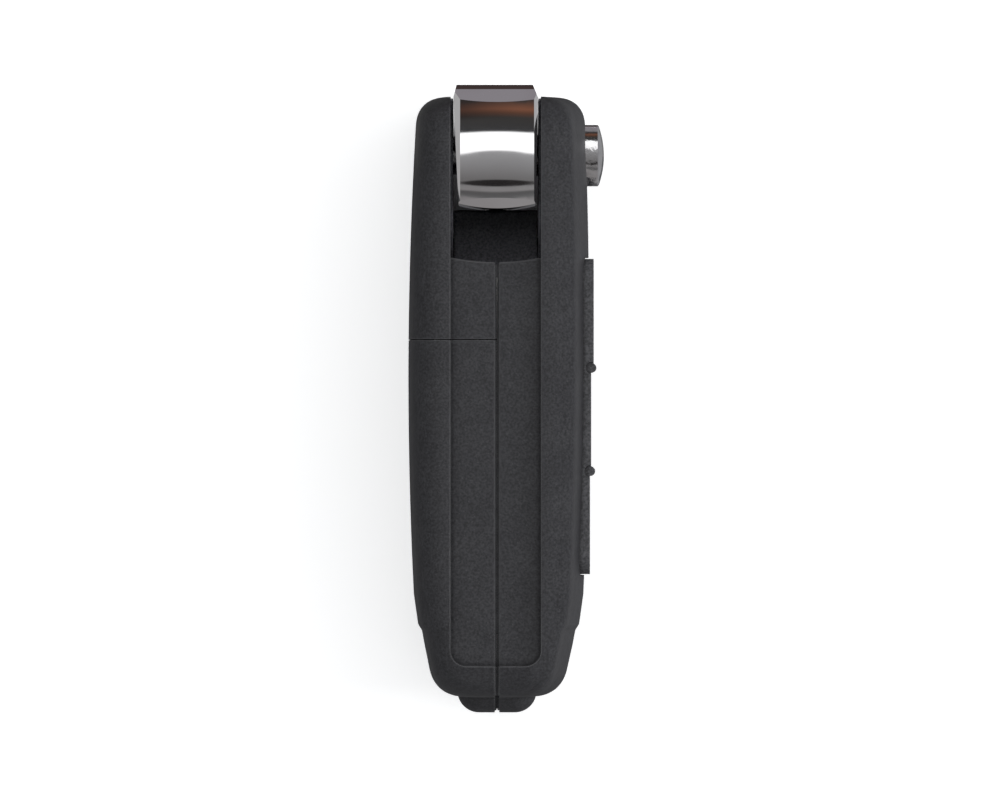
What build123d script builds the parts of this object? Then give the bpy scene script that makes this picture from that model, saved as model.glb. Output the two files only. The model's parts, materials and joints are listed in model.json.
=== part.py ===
from build123d import *
import os
from math import sqrt

os.makedirs("parts", exist_ok=True)

# Flip remote key, folded, resting on the narrow side that holds the blade.
# +X is the button face, +Y is the head end, +Z is the narrow side opposite the blade.
# Depths are measured along X from the parting plane between the front and rear halves.

# Case, overall
case_width = 37.0
wall = 1.6
front_bulge = 11.55
back_bulge = 11.1
front_peak_y = 7.5
back_peak_y = 2.7
front_long_radius = 700.0
back_long_radius = 540.0
front_crown = 1.2
back_crown = 0.5
head_end_y = 37.8
foot_end_y = -37.15
parting_gap = 0.12

# Case, corners and ends
back_corner = 4.85
front_corner = 4.9
crease_in = 3.35
crease_drop = 0.45
shoulder_drop = 4.7
curve_handle = 0.55
corner_squareness = 2.4
corner_share = 0.8
crest_blend = 0.8
crease_blend = 0.2
head_round_depth = 3.6
head_round_width = 5.6
foot_round_depth = 3.7
foot_round_width = 7.6
heel_start_y = -24.3
heel_end_y = -27.9
step_end_y = -29.1
heel_slope = 0.14
step_drop = 0.55
foot_taper = 0.19

# Swinging head
pivot_y = 30.55
carrier_rear = -5.44
carrier_front = 5.12
carrier_radius = 17.6
carrier_side_radius = 17.48
rear_bevel_width = 0.85
front_bevel_width = 0.5
bevel_drop = 0.4
carrier_top = 8.65
carrier_bottom = 6.75
carrier_lip = 0.6
rear_taper = 0.65
front_taper = 0.3
top_strip = 0.56
top_strip_drop = 1.04
top_facet = 1.6
top_facet_drop = 1.31
top_rear_shoulder = 0.4
top_front_shoulder = 0.65
low_facet = 1.3
low_facet_drop = 0.94
carrier_bore_radius = 4.9
carrier_web = 3.8
pocket_side_gap = 0.36
pocket_end_gap = 3.48
pocket_barrel = 0.36
core_wall = 1.4
core_end_wall = 3.6
core_below = 3.8
core_above = 5.2
shaft_radius = 2.4
shaft_flange = 1.2
shaft_flange_height = 0.9
shaft_foot_gap = 1.0
shaft_chamfer = 0.3
spring_seat_gap = 0.4
running_clearance = 0.05
flip_spring_radius = 3.75
flip_wire_radius = 0.4
flip_spring_turns = 5

# Blade
blade_width = 8.0
blade_thickness = 3.0
blade_length = 48.0
blade_offset = 12.1
blade_side_gap = 0.7
blade_edge_gap = 0.7
blade_tip_chamfer = 2.6
blade_tip_thin = 0.8
tang_step = 0.9
tang_reach = 3.0
pin_radius = 0.8
pin_drop = 2.5
pin_end_gap = 1.0
track_depth = 0.7
track_half = 1.0
track_zs = (-1.2, 0.6, -0.4, 1.2, 0.2, -1.0, 0.4, 0.0)
track_root_gap = 5.0
collar_length = 8.4
collar_height = 10.7
collar_side_gap = 0.05
collar_end_gap = 1.2
collar_round = 0.5

# Channel and seam on the narrow side
channel_depth = 1.8
channel_end_y = -33.2
channel_corner = 2.0
seam_y = 7.45
groove_half = 0.28
groove_depth = 0.25

# Release button
release_radius = 3.85
release_tip = 13.4
release_travel = 1.5
release_flange = 0.8
release_flange_height = 0.6
release_flange_front = 8.8
plate_thickness = 0.8
plate_radius = 15.5
plate_seat = 2.0
plate_edge_gap = 0.3
release_edge = 0.15
release_dome = 0.65
plunger_radius = 2.6
plunger_gap = 0.3
plunger_inner = 1.2
plunger_head = 1.4
release_spring_bore = 1.5
release_spring_radius = 1.1
release_wire_radius = 0.2
release_spring_turns = 7

# Key ring lug
ring_hole_y = -34.9
ring_hole_radius = 2.3
lug_radius = 4.3
lug_thickness = 9.9
lug_round = 2.7
lip_inset = 0.45
lip_depth = 0.8
lip_clearance = 0.1

# Button pad
pad_top_y = 17.56
pad_bottom_y = -21.81
pad_width = 21.6
pad_border = 1.3
pad_heights = (12.07, 11.75, 11.6)
rib_ys = (3.94, -8.94)
rib_radius = 0.6
rib_rise = 0.05
rib_notch = 0.15
rib_notch_depth = 0.5
rib_half_gap = 0.9
pad_corner = 2.9
pad_flange = 1.2
pad_flange_thickness = 0.85
pad_flange_gap = 0.15
pad_clearance = 0.2
button_corner = 1.6
button_round = 0.35
button_clearance = 0.15
button_rear = 9.4
button_travel = 0.35
front_inner = 8.9
pocket_wall = 1.0

# Circuit board and switches
board_rear = 6.9
board_thickness = 0.6
switch_size = 4.2
switch_height = 1.2
switch_stem_radius = 1.0
switch_stem_margin = 0.05
switch_floor = 0.2
switch_stem_length = 0.9
button_foot_radius = 1.4
chip_size = 5.0
chip_height = 0.9
chip_y = -7.5
crystal_length = 3.0
crystal_width = 2.4
crystal_height = 0.8
crystal_y = -13.5
coil_length = 8.0
coil_width = 2.6
coil_height = 3.0
coil_flange = 0.9
coil_neck = 0.4
coil_y = -18.5

# Battery bay
cell_radius = 10.0
cell_thickness = 3.2
cell_y = -9.0
cell_clearance = 0.2
cell_wall = 1.0
cell_step = 1.2
cell_step_height = 0.4
cell_chamfer = 0.3
cell_grip = 2.6
contact_thickness = 0.3
contact_reach = 7.0
contact_gap = 0.2
positive_leg_gap = 0.7
ground_leg_gap = 1.1
contact_width = 3.0
tray_thickness = 1.2
tray_front = 0.1
frame_wall = 1.0
frame_clearance = 0.2
bay_top_y = 6.2
bay_bottom_y = -29.4

# Transponder capsule and its clip
capsule_radius = 1.5
capsule_length = 12.0
capsule_round = 1.4
capsule_gap = 1.6
capsule_drop = 3.5
clip_wall = 0.8
clip_gap = 0.1
clip_height = 2.0
clip_half = 5.0

# Fasteners
screw_radius = 0.75
screw_head_radius = 1.7
screw_head_height = 1.0
screw_head_round = 0.4
screw_slot_length = 2.0
screw_slot_width = 0.45
screw_slot_depth = 0.55
boss_radius = 1.9
boss_root = 0.2
boss_clearance = 0.2
boss_side_gap = 0.7
head_boss_gap = 0.6
tail_boss_gap = 1.1
tab_thickness = 1.2
tab_margin = 0.4

# Worked-out planes and places
half_width = case_width / 2
mid_z = half_width
parting_x = (back_bulge - release_tip) / 2
half_gap = parting_gap / 2
front_face_x = parting_x + half_gap
rear_face_x = parting_x - half_gap
pocket_rear = carrier_rear - pocket_side_gap
pocket_front = carrier_front + pocket_side_gap
pocket_radius = carrier_radius + pocket_end_gap
channel_floor_z = case_width - channel_depth
blade_z = mid_z - blade_offset
blade_low_z = blade_z - blade_width / 2
blade_high_z = blade_z + blade_width / 2
slot_half = blade_thickness / 2 + blade_side_gap
slot_roof_z = blade_high_z + blade_edge_gap
blade_root_y = pivot_y - carrier_bottom
blade_tip_y = blade_root_y - blade_length
slot_end_y = blade_tip_y - 3 * blade_edge_gap
frame_roof_z = slot_roof_z + frame_wall
bay_low_z = wall + frame_clearance
bay_high_z = channel_floor_z - wall + frame_clearance
tray_rear = tray_front - tray_thickness
cell_front = tray_rear - contact_thickness
cell_rear = cell_front - cell_thickness
cell_z = (frame_roof_z + bay_high_z) / 2
board_front = board_rear + board_thickness
switch_top = board_front + switch_height
stem_top = switch_top + button_travel + switch_stem_margin
pad_centre_y = (pad_top_y + pad_bottom_y) / 2
pad_length = pad_top_y - pad_bottom_y
release_flange_rear = release_flange_front - release_flange_height
spring_bore_end = release_flange_rear - plunger_head
shaft_end = plunger_inner - release_travel - spring_seat_gap
bore_floor = carrier_rear + carrier_web
screw_z = bay_high_z - boss_radius - boss_side_gap
head_screw_y = bay_top_y - boss_radius - head_boss_gap
tail_screw_y = bay_bottom_y + boss_radius + tail_boss_gap
tab_rear = tray_rear - tab_thickness
plate_proud = pocket_side_gap - running_clearance
carrier_top_y = pivot_y + carrier_top
carrier_low_y = pivot_y - carrier_bottom
tang_half = blade_thickness / 2
tang_end_y = pivot_y + tang_reach
pin_y = pivot_y - pin_drop
button_width = pad_width - 2 * pad_border
flange_front = front_inner - pad_flange_gap
flange_rear = flange_front - pad_flange_thickness
whole = 4 * case_width


def rounding(distance, radius):
    """How far a soft quarter round has dropped at this distance past its start."""
    share = min(max(distance / radius, 0.0), 1.0)
    return radius * (1 - (1 - share**corner_squareness) ** (1 / corner_squareness))


def half_width_at(y):
    """Half the case's width: straight, then an arc about the pivot, then rounded ends."""
    around_pivot = sqrt(half_width**2 - max(y - pivot_y, 0.0) ** 2)
    head = rounding(y - (head_end_y - head_round_width), head_round_width)
    foot = rounding((foot_end_y + foot_round_width) - y, foot_round_width)
    return around_pivot - head - foot


def depth_at(y, bulge, peak_y, long_radius):
    """Depth of a face from the parting plane: a long arc, a heel, a step and a foot."""
    body_y = max(y, heel_start_y)
    body = bulge - (body_y - peak_y) ** 2 / (2 * long_radius)
    heel = heel_slope * min(max(heel_start_y - y, 0.0), heel_start_y - heel_end_y)
    down_step = min(max(heel_end_y - y, 0.0) / (heel_end_y - step_end_y), 1.0)
    step = step_drop * down_step**2 * (3 - 2 * down_step)
    foot = foot_taper * max(step_end_y - y, 0.0)
    head = rounding(y - (head_end_y - head_round_depth), head_round_depth)
    end = rounding((foot_end_y + foot_round_depth) - y, foot_round_depth)
    return body - heel - step - foot - head - end


def case_section(y, inset):
    """Closed section of the case at y, drawn as a sketch and shrunk by inset."""
    top = mid_z + half_width_at(y) - inset
    back_depth = depth_at(y, back_bulge, back_peak_y, back_long_radius) - inset
    front_depth = depth_at(y, front_bulge, front_peak_y, front_long_radius) - inset
    back = parting_x - back_depth
    front = parting_x + front_depth
    face_half = top - shoulder_drop + inset - mid_z
    front_lean = 2 * front_crown / face_half
    back_lean = 2 * back_crown / face_half
    back_radius = min(back_corner - inset, corner_share * back_depth)
    front_radius = min(front_corner - inset, corner_share * front_depth)
    share = front_radius / front_corner
    shoulder = shoulder_drop - inset

    crest_back = (back + back_radius, top)
    crest_front = (front - front_radius, top)
    crease = (front - crease_in * share, top - crease_drop)
    face_front = (front - front_crown, top - shoulder)
    face_back = (back + back_crown, top - back_radius)
    rail_curve = (crest_front, (crest_front[0] + crest_blend * share, top), crease)
    reach = (front - crease[0]) * curve_handle
    front_curve = (
        crease,
        (crease[0] + reach, crease[1] - crease_blend),
        (face_front[0] - front_lean * shoulder * curve_handle, face_front[1] + shoulder * curve_handle),
        face_front,
    )
    back_curve = (
        face_back,
        (face_back[0] + back_lean * back_radius * curve_handle, face_back[1] + back_radius * curve_handle),
        (crest_back[0] - back_radius * curve_handle, top),
        crest_back,
    )

    def low(points):
        return [(x, 2 * mid_z - z) for x, z in reversed(points)]

    with BuildSketch(Plane.XZ.offset(-y)) as section:
        with BuildLine():
            Line(crest_back, crest_front)
            Bezier(*rail_curve)
            Bezier(*front_curve)
            ThreePointArc(face_front, (front, mid_z), low([face_front])[0])
            Bezier(*low(front_curve))
            Bezier(*low(rail_curve))
            Line(*low([crest_back, crest_front]))
            Bezier(*low(back_curve))
            ThreePointArc(low([face_back])[0], (back, mid_z), face_back)
            Bezier(*back_curve)
        make_face()
    return section.sketch


def case_span(ys, inset, ruled=False):
    """One stretch of the case, lofted through its sections."""
    loft([case_section(y, inset) for y in ys], ruled=ruled)


def stretch(start_y, end_y, parts, inset):
    """Places between two ys, closer towards the second, which the inset brings nearer."""
    last_y = end_y + inset if end_y < start_y else end_y - inset
    ys = [end_y + (start_y - end_y) * part for part in parts]
    return [y for y in ys if abs(y - end_y) > inset] + [last_y]


def case_body(inset):
    """The whole case as one solid, shrunk by inset."""
    head_parts = (1, 0.82, 0.64, 0.5, 0.38, 0.27, 0.17, 0.09, 0.03)
    foot_parts = (1, 0.87, 0.74, 0.6, 0.48, 0.36, 0.25, 0.16, 0.08, 0.03)
    step_parts = (0, 0.2, 0.4, 0.6, 0.8, 1)
    head_ys = stretch(head_end_y - head_round_width, head_end_y, head_parts, inset)
    foot_ys = stretch(foot_end_y + foot_round_width, foot_end_y, foot_parts, inset)
    step_ys = [heel_end_y + (step_end_y - heel_end_y) * part for part in step_parts]
    long_step = (pivot_y - heel_start_y) / 5
    case_span([heel_start_y + long_step * count for count in range(6)], inset)
    case_span([pivot_y] + head_ys, inset)
    case_span([heel_start_y, heel_end_y], inset, ruled=True)
    case_span(step_ys, inset, ruled=True)
    case_span([step_end_y, foot_ys[0]], inset, ruled=True)
    case_span(foot_ys, inset)


def block(low, high, mode=Mode.ADD):
    """A box between two corners, each given as depth, y and z."""
    centre = [(a + b) / 2 for a, b in zip(low, high)]
    size = [b - a for a, b in zip(low, high)]
    with Locations((parting_x + centre[0], centre[1], centre[2])):
        Box(*size, mode=mode)


def across(depth):
    """The plane at this depth, facing the button side, with y across and z up."""
    return Plane.YZ.offset(parting_x + depth)


def disc(y, z, radius, depth, end_depth, mode=Mode.ADD):
    """A cylinder along X between two depths."""
    with BuildSketch(across(depth)) as outline:
        with Locations((y, z)):
            Circle(radius)
    extrude(outline.sketch, amount=end_depth - depth, mode=mode)


def save(builder, name):
    """Label one piece and write it to its own file."""
    builder.part.label = name
    export_step(builder.part, f"parts/{name}.step")


# Outer form of the case, with the round-edged key ring lug and its scoops
with BuildPart() as case_outer:
    case_body(0.0)
    half_lug = lug_thickness / 2
    lug_low = (-half_lug, ring_hole_y, mid_z - lug_radius)
    block(lug_low, (half_lug, ring_hole_y + lug_radius, mid_z + lug_radius))
    with BuildSketch(Plane.XY.offset(mid_z)) as lug_outline:
        with Locations((parting_x, ring_hole_y)):
            Rectangle(lug_thickness, lug_radius, align=(Align.CENTER, Align.MAX))
        fillet(lug_outline.vertices().group_by(Axis.Y)[0], lug_round)
    revolve(axis=Axis((0, ring_hole_y, mid_z), (1, 0, 0)))
    for side in (-1, 1):
        disc(ring_hole_y, mid_z, lug_radius, side * half_lug, side * back_bulge, Mode.SUBTRACT)
    disc(ring_hole_y, mid_z, ring_hole_radius, -lug_thickness, lug_thickness, Mode.SUBTRACT)

# Same form shrunk by the wall, which bounds every hollow
with BuildPart() as case_inner:
    case_body(wall)

# Same form shrunk a little more, which bounds what lies inside
with BuildPart() as case_room:
    case_body(wall + frame_clearance)

# Same form shrunk by the depth of the groove that runs along the parting line
with BuildPart() as groove_floor:
    case_body(groove_depth)
    disc(ring_hole_y, mid_z, lug_radius - groove_depth, -lug_thickness / 2, lug_thickness / 2)

# Barrel-shaped pocket in which the head swings
with BuildPart() as swing_pocket:
    with BuildSketch(Plane.XY.offset(mid_z)):
        with BuildLine():
            pocket_rear_x = parting_x + pocket_rear
            pocket_front_x = parting_x + pocket_front
            side_y = pivot_y - pocket_radius
            barrel_end = (parting_x, side_y - pocket_barrel)
            Line((pocket_rear_x, pivot_y), (pocket_rear_x, side_y))
            ThreePointArc((pocket_rear_x, side_y), barrel_end, (pocket_front_x, side_y))
            Line((pocket_front_x, side_y), (pocket_front_x, pivot_y))
            Line((pocket_front_x, pivot_y), (pocket_rear_x, pivot_y))
        make_face()
    revolve(axis=Axis((0, pivot_y, mid_z), (1, 0, 0)))

# Shallow channel between the rails, on the side the photograph shows
with BuildPart() as side_channel:
    channel_length = pivot_y - channel_end_y
    channel_width = pocket_front - pocket_rear
    channel_x = parting_x + (pocket_front + pocket_rear) / 2
    with BuildSketch(Plane.XY.offset(channel_floor_z)) as channel_outline:
        with Locations((channel_x, channel_end_y + channel_length / 2)):
            Rectangle(channel_width, channel_length)
        fillet(channel_outline.vertices().group_by(Axis.Y)[0], channel_corner)
    extrude(amount=2 * channel_depth)

# Slot along the far narrow side, in which the folded blade lies
with BuildPart() as blade_slot:
    block((-slot_half, slot_end_y, -wall), (slot_half, pivot_y, slot_roof_z))

# Shallow groove along the parting line and the seam, cut into every outer edge
with BuildPart() as edge_groove:
    add(case_outer)
    add(groove_floor, mode=Mode.SUBTRACT)
with BuildPart() as floor_groove:
    block((-groove_half, channel_end_y, channel_floor_z - groove_depth), (groove_half, pivot_y, case_width))

# Hollow behind the button face and the battery cover
with BuildPart() as bay:
    block((-back_bulge, bay_bottom_y, wall), (front_inner, bay_top_y, bay_high_z))
    add(case_inner, mode=Mode.INTERSECT)
with BuildPart() as button_bay:
    button_bay_top_y = pad_top_y + pad_flange + frame_clearance
    button_bay_low = (pocket_front + pocket_wall, bay_bottom_y, wall)
    block(button_bay_low, (front_inner, button_bay_top_y, bay_high_z))
    add(case_inner, mode=Mode.INTERSECT)
with BuildPart() as pad_seat:
    seat_half = pad_width / 2 + pad_flange + frame_clearance
    seat_low_y = pad_bottom_y - pad_flange - frame_clearance
    seat_low = (flange_rear - frame_clearance, seat_low_y, mid_z - seat_half)
    block(seat_low, (front_inner, button_bay_top_y, mid_z + seat_half))

# Hollows in the two cheeks, for the release button and the pivot shaft
with BuildPart() as cheek_hollow:
    disc(pivot_y, mid_z, plate_radius - plate_seat, -back_bulge, front_bulge)
    add(case_inner, mode=Mode.INTERSECT)
with BuildPart() as plate_pocket:
    disc(pivot_y, mid_z, plate_radius, pocket_rear - plate_thickness, pocket_front + plate_thickness)
    add(case_inner, mode=Mode.INTERSECT)


def keep_front():
    """Keep what lies in front of the parting plane."""
    split(bisect_by=Plane.YZ.offset(front_face_x), keep=Keep.TOP)


def keep_rear():
    """Keep what lies behind the parting plane."""
    split(bisect_by=Plane.YZ.offset(rear_face_x), keep=Keep.BOTTOM)


def cut_parting_groove():
    """Cut the shallow groove that follows the parting line round the case and the channel."""
    add(parting_groove, mode=Mode.SUBTRACT)
    add(floor_groove, mode=Mode.SUBTRACT)


with BuildPart() as parting_groove:
    block((-groove_half, -whole, -whole), (groove_half, whole, whole))
    add(edge_groove, mode=Mode.INTERSECT)

# Front shell: button face, front cheek and half of the lug, with a lip that enters the other half
head_hollows = (cheek_hollow, plate_pocket, swing_pocket, side_channel, blade_slot)
lip_radius = lug_radius - lip_inset
screw_hole_radius = screw_radius + running_clearance
with BuildPart() as front_shell:
    add(case_outer)
    keep_front()
    for hollow in (bay, button_bay, pad_seat) + head_hollows:
        add(hollow, mode=Mode.SUBTRACT)
    cut_parting_groove()
    disc(ring_hole_y, mid_z, lip_radius, -lip_depth, wall)
    disc(ring_hole_y, mid_z, ring_hole_radius, -lip_depth, wall, Mode.SUBTRACT)
    disc(pivot_y, mid_z, release_radius + running_clearance, pocket_front, release_tip, Mode.SUBTRACT)
    with BuildSketch(across(flange_rear)):
        with Locations((pad_centre_y, mid_z)):
            window_length = pad_length + 2 * pad_clearance
            window_width = pad_width + 2 * pad_clearance
            RectangleRounded(window_length, window_width, pad_corner + pad_clearance)
    extrude(amount=front_bulge, mode=Mode.SUBTRACT)
    for boss_y in (head_screw_y, tail_screw_y):
        disc(boss_y, screw_z, boss_radius, tray_front, front_inner + boss_root)
        disc(boss_y, screw_z, screw_hole_radius, tray_front, front_inner - wall, Mode.SUBTRACT)
save(front_shell, "front_shell")

# Rear head cover: rear cheek, with a tab that the head screw clamps
with BuildPart() as rear_head_cover:
    add(case_outer)
    keep_rear()
    block((-whole, -whole, -whole), (whole, seam_y + half_gap, whole), Mode.SUBTRACT)
    for hollow in head_hollows:
        add(hollow, mode=Mode.SUBTRACT)
    cut_parting_groove()
    tab_low_z = screw_z - boss_radius - tab_margin
    tab_low_y = head_screw_y - boss_radius - tab_margin
    block((tab_rear, tab_low_y, tab_low_z), (tray_rear, seam_y + wall, bay_high_z - frame_clearance))
    disc(head_screw_y, screw_z, screw_hole_radius, tab_rear, tray_rear, Mode.SUBTRACT)
save(rear_head_cover, "rear_head_cover")

# Battery cover: the rear half below the seam, with the other half of the lug
with BuildPart() as battery_cover:
    add(case_outer)
    keep_rear()
    block((-whole, seam_y - half_gap, -whole), (whole, whole, whole), Mode.SUBTRACT)
    for hollow in (bay, side_channel, blade_slot):
        add(hollow, mode=Mode.SUBTRACT)
    cut_parting_groove()
    notch_low = (tab_rear - frame_clearance, bay_top_y - wall, tab_low_z - frame_clearance)
    block(notch_low, (0, seam_y, bay_high_z), Mode.SUBTRACT)
    lip_floor = -lip_depth - lip_clearance
    disc(ring_hole_y, mid_z, lip_radius + lip_clearance, lip_floor, 0, Mode.SUBTRACT)
save(battery_cover, "battery_cover")

# Inner frame: blade trough, battery tray and the walls that carry the circuit board
frame_top_y = bay_top_y - frame_clearance
frame_low_y = bay_bottom_y + frame_clearance
frame_high_z = bay_high_z - frame_clearance
trough_half = slot_half + frame_wall
tray_low_z = frame_roof_z
cell_ring_radius = cell_radius + cell_clearance
contact_y = cell_y + cell_ring_radius + cell_wall + positive_leg_gap
ground_y = cell_y - cell_ring_radius - cell_wall - ground_leg_gap
capsule_y = ground_y - capsule_radius - capsule_gap
capsule_z = cell_z - capsule_drop
with BuildPart() as inner_frame:
    block((-trough_half, slot_end_y - frame_wall, bay_low_z), (trough_half, frame_top_y, frame_roof_z))
    block((tray_rear, frame_low_y, tray_low_z), (tray_front, frame_top_y, frame_high_z))
    block((tray_front, frame_low_y, tray_low_z), (board_rear, frame_top_y, frame_high_z))
    inside_low = (tray_front, frame_low_y + frame_wall, tray_low_z + frame_wall)
    block(inside_low, (board_rear, frame_top_y - frame_wall, frame_high_z - frame_wall), Mode.SUBTRACT)
    disc(cell_y, cell_z, cell_ring_radius + cell_wall, tray_rear - cell_grip - contact_thickness, tray_rear)
    disc(cell_y, cell_z, cell_ring_radius, cell_rear, tray_rear, Mode.SUBTRACT)
    clip_ys = (capsule_y - capsule_radius - clip_gap - clip_wall, capsule_y + capsule_radius + clip_gap)
    for wall_y in clip_ys:
        clip_low = (tray_rear - clip_height, wall_y, capsule_z - clip_half)
        block(clip_low, (tray_rear, wall_y + clip_wall, capsule_z + clip_half))
    for screw_y in (head_screw_y, tail_screw_y):
        disc(screw_y, screw_z, boss_radius + boss_clearance, tray_front, board_rear, Mode.SUBTRACT)
        disc(screw_y, screw_z, screw_radius + 2 * running_clearance, tray_rear, tray_front, Mode.SUBTRACT)
    half_contact = contact_width / 2 + contact_gap
    for leg_y in (contact_y, ground_y):
        leg_low = (cell_rear, leg_y - contact_gap, cell_z - half_contact)
        leg_high = (tray_front, leg_y + contact_thickness + contact_gap, cell_z + half_contact)
        block(leg_low, leg_high, Mode.SUBTRACT)
    notch_high = (tray_rear, cell_y - cell_radius + cell_wall, cell_z + half_contact)
    block((cell_front, ground_y, cell_z - half_contact), notch_high, Mode.SUBTRACT)
    block((-slot_half, slot_end_y, -wall), (slot_half, frame_top_y, slot_roof_z), Mode.SUBTRACT)
    frame_low = (cell_rear, frame_low_y, bay_low_z)
    block(frame_low, (board_rear, frame_top_y, frame_high_z), Mode.INTERSECT)
    add(case_room, mode=Mode.INTERSECT)
save(inner_frame, "inner_frame")

# Circuit board, resting on the frame's walls, with holes round the two screw bosses
board_low_z = tray_low_z + frame_clearance
board_high_z = frame_high_z - frame_clearance
board_low_y = frame_low_y + frame_clearance
board_high_y = pivot_y - plate_radius - frame_clearance
with BuildPart() as circuit_board:
    block((board_rear, board_low_y, board_low_z), (board_front, board_high_y, board_high_z))
    add(case_room, mode=Mode.INTERSECT)
    for screw_y in (head_screw_y, tail_screw_y):
        disc(screw_y, screw_z, boss_radius + boss_clearance, board_rear, board_front, Mode.SUBTRACT)
save(circuit_board, "circuit_board")

# The three buttons lie between the pad's border and its two ribs
opening_tops = (pad_top_y - pad_border, rib_ys[0] - rib_half_gap, rib_ys[1] - rib_half_gap)
opening_ends = (rib_ys[0] + rib_half_gap, rib_ys[1] + rib_half_gap, pad_bottom_y + pad_border)
zone_tops = (pad_top_y,) + rib_ys
zone_ends = rib_ys + (pad_bottom_y,)
button_centres = [(top + end) / 2 for top, end in zip(opening_tops, opening_ends)]
button_names = ("lock", "unlock", "boot")

# Button pad: one rubber frame with a flange inside the shell and two ribs across it
with BuildPart() as button_pad:
    with BuildSketch(across(flange_rear)):
        with Locations((pad_centre_y, mid_z)):
            RectangleRounded(pad_length + 2 * pad_flange, pad_width + 2 * pad_flange, pad_corner)
    extrude(amount=pad_flange_thickness)
    for boss_y in (head_screw_y, tail_screw_y):
        disc(boss_y, screw_z, boss_radius + boss_clearance, flange_rear, front_inner, Mode.SUBTRACT)
    for top, end, height in zip(zone_tops, zone_ends, pad_heights):
        block((flange_front, end, mid_z - pad_width / 2), (height, top, mid_z + pad_width / 2))
    outer_edges = [
        edge
        for edge in button_pad.edges().filter_by(Axis.X)
        if edge.length > pad_flange_thickness + 0.5 and abs(edge.center().Z - mid_z) > pad_width / 2 - 0.01
    ]
    corner_ys = (pad_top_y, pad_bottom_y)
    pad_corners = [edge for edge in outer_edges if min(abs(edge.center().Y - y) for y in corner_ys) < 0.01]
    fillet(pad_corners, pad_corner)
    for top, end in zip(opening_tops, opening_ends):
        with BuildSketch(across(flange_rear)) as button_opening:
            with Locations(((top + end) / 2, mid_z)):
                RectangleRounded(top - end, button_width, button_corner)
        extrude(amount=front_bulge, mode=Mode.SUBTRACT)
    for rib_y, height in zip(rib_ys, pad_heights[1:]):
        rib_x = parting_x + height + rib_rise
        rib_half = pad_width / 2 - rib_notch_depth
        for side in (-1, 1):
            with BuildSketch(Plane.XY.offset(mid_z + side * rib_half)):
                with Locations((rib_x, rib_y)):
                    Circle(rib_radius + rib_notch)
            extrude(amount=side * rib_notch_depth, mode=Mode.SUBTRACT)
        with BuildSketch(Plane.XY.offset(mid_z)):
            with Locations((rib_x, rib_y)):
                Circle(rib_radius)
        extrude(amount=rib_half, both=True)
save(button_pad, "button_pad")

# Buttons with their feet, and the switch under each one
for name, centre_y, top, end, height in zip(
    button_names, button_centres, opening_tops, opening_ends, pad_heights
):
    with BuildPart() as button:
        button_length = top - end - 2 * button_clearance
        with BuildSketch(across(button_rear)):
            with Locations((centre_y, mid_z)):
                face_width = button_width - 2 * button_clearance
                RectangleRounded(button_length, face_width, button_corner - button_clearance)
        extrude(amount=height - button_rear)
        fillet(button.faces().sort_by(Axis.X)[-1].edges(), button_round)
        disc(centre_y, mid_z, button_foot_radius, stem_top, button_rear)
    save(button, f"{name}_button")

    with BuildPart() as switch:
        half = switch_size / 2
        switch_low = (board_front, centre_y - half, mid_z - half)
        block(switch_low, (switch_top, centre_y + half, mid_z + half))
        stem_seat = switch_stem_radius + running_clearance
        disc(centre_y, mid_z, stem_seat, board_front + switch_floor, switch_top, Mode.SUBTRACT)
    save(switch, f"{name}_switch")

    with BuildPart() as switch_stem:
        disc(centre_y, mid_z, switch_stem_radius, stem_top - switch_stem_length, stem_top)
    save(switch_stem, f"{name}_switch_stem")

# Parts on the back of the circuit board: controller, crystal and aerial coil
with BuildPart() as microcontroller:
    chip_low = (board_rear - chip_height, chip_y - chip_size / 2, cell_z - chip_size / 2)
    block(chip_low, (board_rear, chip_y + chip_size / 2, cell_z + chip_size / 2))
save(microcontroller, "microcontroller")
with BuildPart() as quartz_crystal:
    crystal_low = (board_rear - crystal_height, crystal_y - crystal_length / 2, cell_z - crystal_width / 2)
    block(crystal_low, (board_rear, crystal_y + crystal_length / 2, cell_z + crystal_width / 2))
save(quartz_crystal, "quartz_crystal")
with BuildPart() as aerial_coil:
    coil_low = (board_rear - coil_height, coil_y - coil_width / 2, cell_z - coil_length / 2)
    coil_high = (board_rear, coil_y + coil_width / 2, cell_z + coil_length / 2)
    block(coil_low, coil_high)
    neck_low = (coil_low[0], coil_low[1], coil_low[2] + coil_flange)
    neck_high = (coil_low[0] + coil_neck, coil_high[1], coil_high[2] - coil_flange)
    block(neck_low, neck_high, Mode.SUBTRACT)
save(aerial_coil, "aerial_coil")

# Coin cell: can, insulating step and negative cap
with BuildPart() as coin_cell:
    disc(cell_y, cell_z, cell_radius, cell_rear, cell_front - cell_step_height)
    disc(cell_y, cell_z, cell_radius - cell_step, cell_front - cell_step_height, cell_front)
    chamfer(coin_cell.faces().sort_by(Axis.X)[0].edges(), cell_chamfer)
save(coin_cell, "coin_cell")

# Battery contacts: a strip on each face of the cell, with a leg down to the board
contact_low_z = cell_z - contact_width / 2
contact_high_z = cell_z + contact_width / 2
with BuildPart() as battery_contact_positive:
    strip_rear = cell_rear - contact_thickness
    strip_start_y = contact_y - contact_reach
    leg_end_y = contact_y + contact_thickness
    block((strip_rear, strip_start_y, contact_low_z), (cell_rear, leg_end_y, contact_high_z))
    block((strip_rear, contact_y, contact_low_z), (board_rear, leg_end_y, contact_high_z))
save(battery_contact_positive, "battery_contact_positive")
with BuildPart() as battery_contact_negative:
    block((cell_front, ground_y, contact_low_z), (tray_rear, ground_y + contact_reach, contact_high_z))
    block((cell_front, ground_y, contact_low_z), (board_rear, ground_y + contact_thickness, contact_high_z))
save(battery_contact_negative, "battery_contact_negative")

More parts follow.
